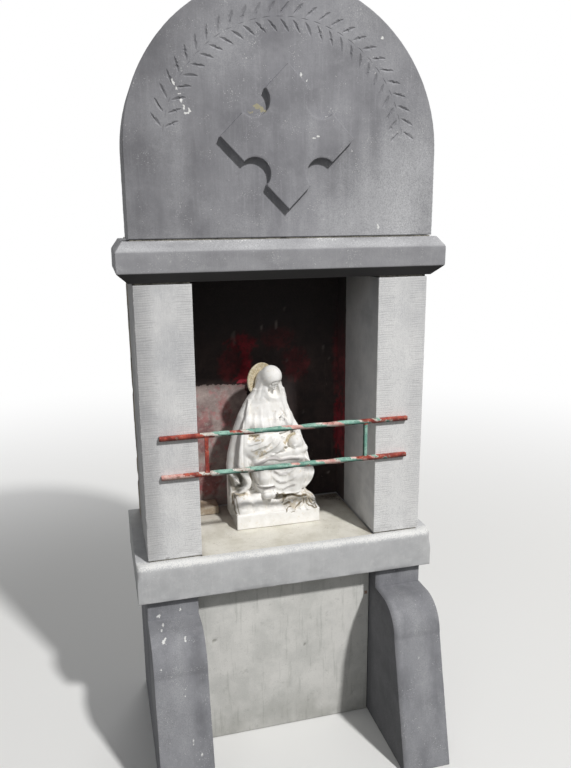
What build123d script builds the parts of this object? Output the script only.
from build123d import *
import math
import os

# Wayside shrine of cut stone: two bracket legs and an inscription panel carry a sill, two jambs and a
# cornice frame a niche, and a round-headed slab with a raised cross stands on top. A cast figure stands
# in the niche behind a guard of twisted iron bars.
# Millimetres. +X to the right, +Y into the shrine, +Z up. The origin is on the ground, in the middle of
# the width and of the depth. Heights are from the ground, depths from the front face of the jambs.

# Heights
floor_height = 650.0          # ground to the niche floor, which is also the top of the sill
opening_height = 779.0        # niche floor to the underside of the cornice
sill_height = 115.0
bed = 4.0                     # mortar bed between two stones
bed_rake = 5.0                # how far a bed stays back from the stone's face

# Depths from the jamb face
jamb_depth = 270.0
cheek_depth = 80.0            # masonry lining behind the jambs
back_thickness = 50.0
toe_reach = 250.0             # the bracket's toe stands this far in front of the jambs

# Widths
opening_width = 522.0
opening_offset = 3.0          # the opening lies this far to the right of the centre line
body_width = 822.0            # over both jambs
arris = 2.5                   # worn edge of the jambs

# Sill
sill_width = 892.0
sill_reach = 22.0
nosing_radius = 16.0
screed_thickness = 12.0
screed_setback = 3.0          # behind the jamb face

# Cornice
cornice_width = 902.0
cornice_reach = 30.0
cornice_height = 107.0
cornice_lower_rise = 27.0
cornice_lower_run = 29.0
cornice_upper_rise = 27.0
cornice_upper_run = 20.0

# Round-headed slab
slab_width = 833.0
slab_reach = 8.0
slab_thickness = 150.0
slab_straight = 215.0         # straight side, from the bed up to the springing of the arch
slab_bed = 3.0

# Raised cross: a square on its corner with a round bite in the middle of each side
cross_half = 178.0            # centre to corner
cross_bite = 40.0             # radius of a bite
cross_relief = 18.0
cross_height = 249.0          # centre of the cross above the bottom of the slab

# Bracket legs
bracket_width = 148.0
bracket_spacing = 696.0       # centre to centre
band_height = 61.0            # plain band under the sill
band_setback = 2.0
shoulder_flat = 62.0          # level top in front of the band
shoulder_radius = 90.0

# Panel and core between the legs
panel_setback = 50.0
panel_thickness = 60.0

# Guard
bar_side = 13.0
upper_bar_length = 723.0
lower_bar_length = 721.0
bar_offset = -2.5             # middle of the bars, from the centre line
upper_bar_height = 362.0      # above the niche floor
lower_bar_height = 250.0
twist_quarters = 5            # quarter turns between the two uprights
twist_sections = 31
upright_side = 11.0
upright_left = -236.0         # middle of each upright, from the centre line
upright_right = 229.0

# Figure
base_width = 266.0
base_depth = 124.0
base_height = 46.0
figure_offset = 4.0           # middle of the base, from the centre line
figure_setback = 140.0        # base front behind the jamb face
figure_sides = 30             # facets round each mass of the figure
head_turn = 28.0              # degrees that the head and its halo look to the right
halo_radius = 54.0
halo_thickness = 8.0
halo_centre = (-24.0, 243.0, 448.0)         # from the centre line, the jamb face and the niche floor
child_halo_radius = 27.0
child_halo_thickness = 5.0
child_halo_centre = (61.0, 174.0, 262.0)

# Loose piece of tile in the back corner
tile_width = 95.0
tile_depth = 66.0
tile_height = 27.0
tile_gap = 3.0

# Worked out from the sizes above
rear_depth = jamb_depth + cheek_depth + back_thickness
face = (toe_reach - rear_depth) / 2
opening_left = opening_offset - opening_width / 2
opening_right = opening_offset + opening_width / 2
opening_top = floor_height + opening_height
sill_bottom = floor_height - sill_height
leg_top = sill_bottom - bed
leg_inner = (bracket_spacing - bracket_width) / 2
cornice_top = opening_top + cornice_height
slab_bottom = cornice_top + slab_bed
rear = face + rear_depth

parts = {}


def block(x0, x1, y0, y1, z0, z1):
    """Box between two corners."""
    centre = Pos((x0 + x1) / 2, (y0 + y1) / 2, (z0 + z1) / 2)
    return centre * Box(x1 - x0, y1 - y0, z1 - z0)


def side_profile(points, x0, x1):
    """Closed outline of (y, z) points, extruded from x0 to x1."""
    outline = Polyline(*[(x0, y, z) for y, z in points], close=True)
    return extrude(make_face(outline), amount=x1 - x0, dir=(1, 0, 0))


def front_profile(points, y0, y1):
    """Closed outline of (x, z) points, extruded from y0 to y1."""
    outline = Polyline(*[(x, y0, z) for x, z in points], close=True)
    return extrude(make_face(outline), amount=y1 - y0, dir=(0, 1, 0))


def front_edges(solid, y):
    """Upright edges that lie on the front plane."""
    return [e for e in solid.edges().filter_by(Axis.Z) if abs(e.center().Y - y) < 0.01]


def jamb(x0, x1):
    stone = block(x0, x1, face, face + jamb_depth, floor_height + bed, opening_top - bed)
    return chamfer(front_edges(stone, face), arris)


def jamb_bed(x0, x1, z0):
    return block(x0 + bed_rake, x1 - bed_rake, face + bed_rake, face + jamb_depth, z0, z0 + bed)


def sill():
    half = sill_width / 2
    stone = block(-half, half, face - sill_reach, rear, sill_bottom, floor_height)
    nose = [e for e in stone.edges().filter_by(Axis.X)
            if e.center().Z > floor_height - 0.01 and e.center().Y < face]
    stone = fillet(nose, nosing_radius)
    return stone - screed()


def screed():
    return block(opening_left, opening_right, face + screed_setback, face + jamb_depth + cheek_depth,
                 floor_height - screed_thickness, floor_height)


def cornice():
    half = cornice_width / 2
    front = face - cornice_reach
    low = opening_top + cornice_lower_rise
    high = cornice_top - cornice_upper_rise
    from_side = side_profile([
        (front, low), (front, high), (front + cornice_upper_run, cornice_top),
        (face + jamb_depth, cornice_top), (face + jamb_depth, opening_top),
        (front + cornice_lower_run, opening_top)], -half, half)
    from_front = front_profile([
        (-half, low), (-half, high), (-half + cornice_upper_run, cornice_top),
        (half - cornice_upper_run, cornice_top), (half, high), (half, low),
        (half - cornice_lower_run, opening_top), (-half + cornice_lower_run, opening_top)],
        front, face + jamb_depth)
    return from_side & from_front


def tympanum():
    radius = slab_width / 2
    springing = slab_bottom + slab_straight
    front = face - slab_reach
    slab = block(-radius, radius, front, front + slab_thickness, slab_bottom, springing)
    head = Pos(0, front + slab_thickness / 2, springing) * Rot(90, 0, 0) * Cylinder(radius, slab_thickness)
    upper = block(-radius, radius, front, front + slab_thickness, springing, springing + radius)
    return slab + (head & upper) + raised_cross(front)


def raised_cross(front):
    centre = slab_bottom + cross_height
    square = front_profile([(0, centre - cross_half), (cross_half, centre), (0, centre + cross_half),
                            (-cross_half, centre)], front - cross_relief, front)
    for side_x in (-1, 1):
        for side_z in (-1, 1):
            middle = Pos(side_x * cross_half / 2, front - cross_relief / 2, centre + side_z * cross_half / 2)
            square -= middle * Rot(90, 0, 0) * Cylinder(cross_bite, cross_relief)
    return square


def bracket(side):
    """Leg under the sill: plain band, level shoulder, quarter round, then a straight batter to the toe."""
    centre = side * bracket_spacing / 2
    x0 = centre - bracket_width / 2
    band = face + band_setback
    shoulder_z = leg_top - band_height
    crown = face - shoulder_flat
    brow = crown - shoulder_radius
    middle = shoulder_radius * math.sqrt(0.5)
    top = Polyline((x0, crown, shoulder_z), (x0, band, shoulder_z), (x0, band, leg_top),
                   (x0, rear, leg_top), (x0, rear, 0), (x0, face - toe_reach, 0),
                   (x0, brow, shoulder_z - shoulder_radius))
    round_front = ThreePointArc((x0, brow, shoulder_z - shoulder_radius),
                                (x0, crown - middle, shoulder_z - shoulder_radius + middle),
                                (x0, crown, shoulder_z))
    outline = make_face(top.edges() + round_front.edges())
    return extrude(outline, amount=bracket_width, dir=(1, 0, 0))


def bracket_bed(side):
    centre = side * bracket_spacing / 2
    half = bracket_width / 2 - bed_rake
    return block(centre - half, centre + half, face + band_setback + bed_rake, rear, leg_top, sill_bottom)


def bar_section(x, z, turn, side):
    """Square of a bar at x, turned about the bar's axis by turn degrees."""
    axis_y = face - bar_side / 2
    plane = Plane(origin=(x, axis_y, z), x_dir=(0, 1, 0), z_dir=(1, 0, 0))
    return plane * Rot(0, 0, turn) * Rectangle(side, side)


def guard_bar(length, height):
    """Square bar, plain at its screwed ends and twisted between the uprights."""
    start = bar_offset - length / 2
    z = floor_height + height
    half = bar_side / 2
    twist_start = upright_left + upright_side / 2
    twist_end = upright_right - upright_side / 2
    left = block(start, twist_start, face - bar_side, face, z - half, z + half)
    right = block(twist_end, start + length, face - bar_side, face, z - half, z + half)
    sections = []
    for i in range(twist_sections):
        share = i / (twist_sections - 1)
        x = twist_start + share * (twist_end - twist_start)
        sections.append(bar_section(x, z, 90 * twist_quarters * share, bar_side))
    return left + loft(sections, ruled=True) + right


def upright(x):
    half = upright_side / 2
    axis_y = face - bar_side / 2
    low = floor_height + lower_bar_height + bar_side / 2
    high = floor_height + upper_bar_height - bar_side / 2
    return block(x - half, x + half, axis_y - half, axis_y + half, low, high)


# Masses of the figure. A level is a height above the niche floor with the left, right, front and back
# limits of the mass there, from the centre line and the jamb face.
rock_levels = [(base_height, -126, 134, 142, 262), (66, -128, 136, 146, 262), (92, -118, 104, 156, 258)]
skirt_levels = [(80, -118, 112, 152, 256), (120, -130, 120, 148, 260), (160, -138, 134, 142, 264),
                (200, -138, 126, 148, 264), (232, -118, 100, 170, 256)]
mantle_levels = [(190, -139, 110, 170, 266), (265, -129, 96, 172, 264), (315, -116, 78, 174, 262),
                 (365, -96, 56, 178, 258), (402, -64, 44, 184, 252), (426, -36, 34, 190, 240)]
head_levels = [(412, -30, 34, 186, 238), (430, -30, 33, 178, 240), (462, -29, 33, 174, 240),
               (486, -24, 30, 180, 238), (500, -8, 18, 194, 226)]
child_head_levels = [(240, 55, 73, 146, 168), (250, 46, 83, 138, 176), (269, 46, 83, 138, 176),
                     (280, 55, 73, 146, 168)]
# These lie along X: each section is a place across with its front, back, low and high limits.
child_sections = [(-70, 152, 190, 216, 262), (-30, 142, 192, 226, 284), (20, 140, 192, 228, 288),
                  (58, 146, 186, 236, 270)]
left_sleeve_sections = [(-84, 168, 214, 292, 356), (-48, 152, 200, 294, 340), (0, 147, 186, 304, 338),
                        (38, 144, 172, 316, 344)]
right_sleeve_sections = [(36, 146, 172, 314, 342), (56, 154, 194, 304, 344), (74, 170, 212, 300, 350)]
foot_sections = [(-40, 146, 176, 98, 120), (-22, 141, 170, 96, 124), (-6, 146, 176, 98, 118)]


def oval(u0, u1, v0, v1):
    """Points round an oval between two limits each way."""
    points = []
    for i in range(figure_sides):
        angle = math.tau * i / figure_sides
        u = (u0 + u1 + (u1 - u0) * math.cos(angle)) / 2
        v = (v0 + v1 + (v1 - v0) * math.sin(angle)) / 2
        points.append((u, v))
    return points


def upright_mass(levels):
    sections = []
    for z, left, right, front, back in levels:
        points = [(x, face + y, floor_height + z) for x, y in oval(left, right, front, back)]
        sections.append(make_face(Polyline(*points, close=True)))
    return loft(sections, ruled=True)


def lying_mass(sections):
    faces = []
    for x, front, back, low, high in sections:
        points = [(x, face + y, floor_height + z) for y, z in oval(front, back, low, high)]
        faces.append(make_face(Polyline(*points, close=True)))
    return loft(faces, ruled=True)


def figure():
    half = base_width / 2
    front = face + figure_setback
    cast = block(figure_offset - half, figure_offset + half, front, front + base_depth, floor_height,
                 floor_height + base_height)
    for levels in (rock_levels, skirt_levels, mantle_levels, head_levels, child_head_levels):
        cast += upright_mass(levels)
    for sections in (child_sections, left_sleeve_sections, right_sleeve_sections, foot_sections):
        cast += lying_mass(sections)
    return cast


def halo(x, y, z, radius, thickness, turn, cast):
    """Upright disc let into the back of a head."""
    disc = Pos(x, face + y, floor_height + z) * Rot(0, 0, turn) * Rot(90, 0, 0) * Cylinder(radius, thickness)
    return disc - cast


def loose_tile():
    back = face + jamb_depth + cheek_depth - tile_gap
    left = opening_left + tile_gap
    return block(left, left + tile_width, back - tile_depth, back, floor_height, floor_height + tile_height)


half_body = body_width / 2
cheek_front = face + jamb_depth
back_front = cheek_front + cheek_depth

parts["tympanum"] = tympanum()
parts["cornice"] = cornice()
parts["rear_lintel"] = block(-half_body, half_body, cheek_front, rear, opening_top, cornice_top)
parts["jamb_left"] = jamb(-half_body, opening_left)
parts["jamb_right"] = jamb(opening_right, half_body)
parts["cheek_left"] = block(-half_body, opening_left, cheek_front, back_front, floor_height, opening_top)
parts["cheek_right"] = block(opening_right, half_body, cheek_front, back_front, floor_height, opening_top)
parts["niche_back"] = block(-half_body, half_body, back_front, rear, floor_height, opening_top)
parts["niche_floor"] = screed()
parts["sill"] = sill()
parts["bracket_left"] = bracket(-1)
parts["bracket_right"] = bracket(1)
panel_front = face + panel_setback
core_front = panel_front + panel_thickness
parts["inscription_panel"] = block(-leg_inner, leg_inner, panel_front, core_front, 0, sill_bottom)
parts["base_core"] = block(-leg_inner, leg_inner, core_front, rear, 0, sill_bottom)

radius = slab_width / 2
parts["bed_tympanum"] = block(-radius + bed_rake, radius - bed_rake, face - slab_reach + bed_rake,
                              face - slab_reach + slab_thickness - bed_rake, cornice_top, slab_bottom)
parts["bed_jamb_left_foot"] = jamb_bed(-half_body, opening_left, floor_height)
parts["bed_jamb_right_foot"] = jamb_bed(opening_right, half_body, floor_height)
parts["bed_jamb_left_top"] = jamb_bed(-half_body, opening_left, opening_top - bed)
parts["bed_jamb_right_top"] = jamb_bed(opening_right, half_body, opening_top - bed)
parts["bed_bracket_left"] = bracket_bed(-1)
parts["bed_bracket_right"] = bracket_bed(1)

parts["guard_bar_upper"] = guard_bar(upper_bar_length, upper_bar_height)
parts["guard_bar_lower"] = guard_bar(lower_bar_length, lower_bar_height)
parts["guard_upright_left"] = upright(upright_left)
parts["guard_upright_right"] = upright(upright_right)

cast = figure()
parts["figure"] = cast
parts["figure_halo"] = halo(*halo_centre, halo_radius, halo_thickness, head_turn, cast)
parts["child_halo"] = halo(*child_halo_centre, child_halo_radius, child_halo_thickness, 0, cast)
parts["loose_tile"] = loose_tile()

os.makedirs("parts", exist_ok=True)
for name, solid in parts.items():
    export_step(solid, "parts/" + name + ".step")
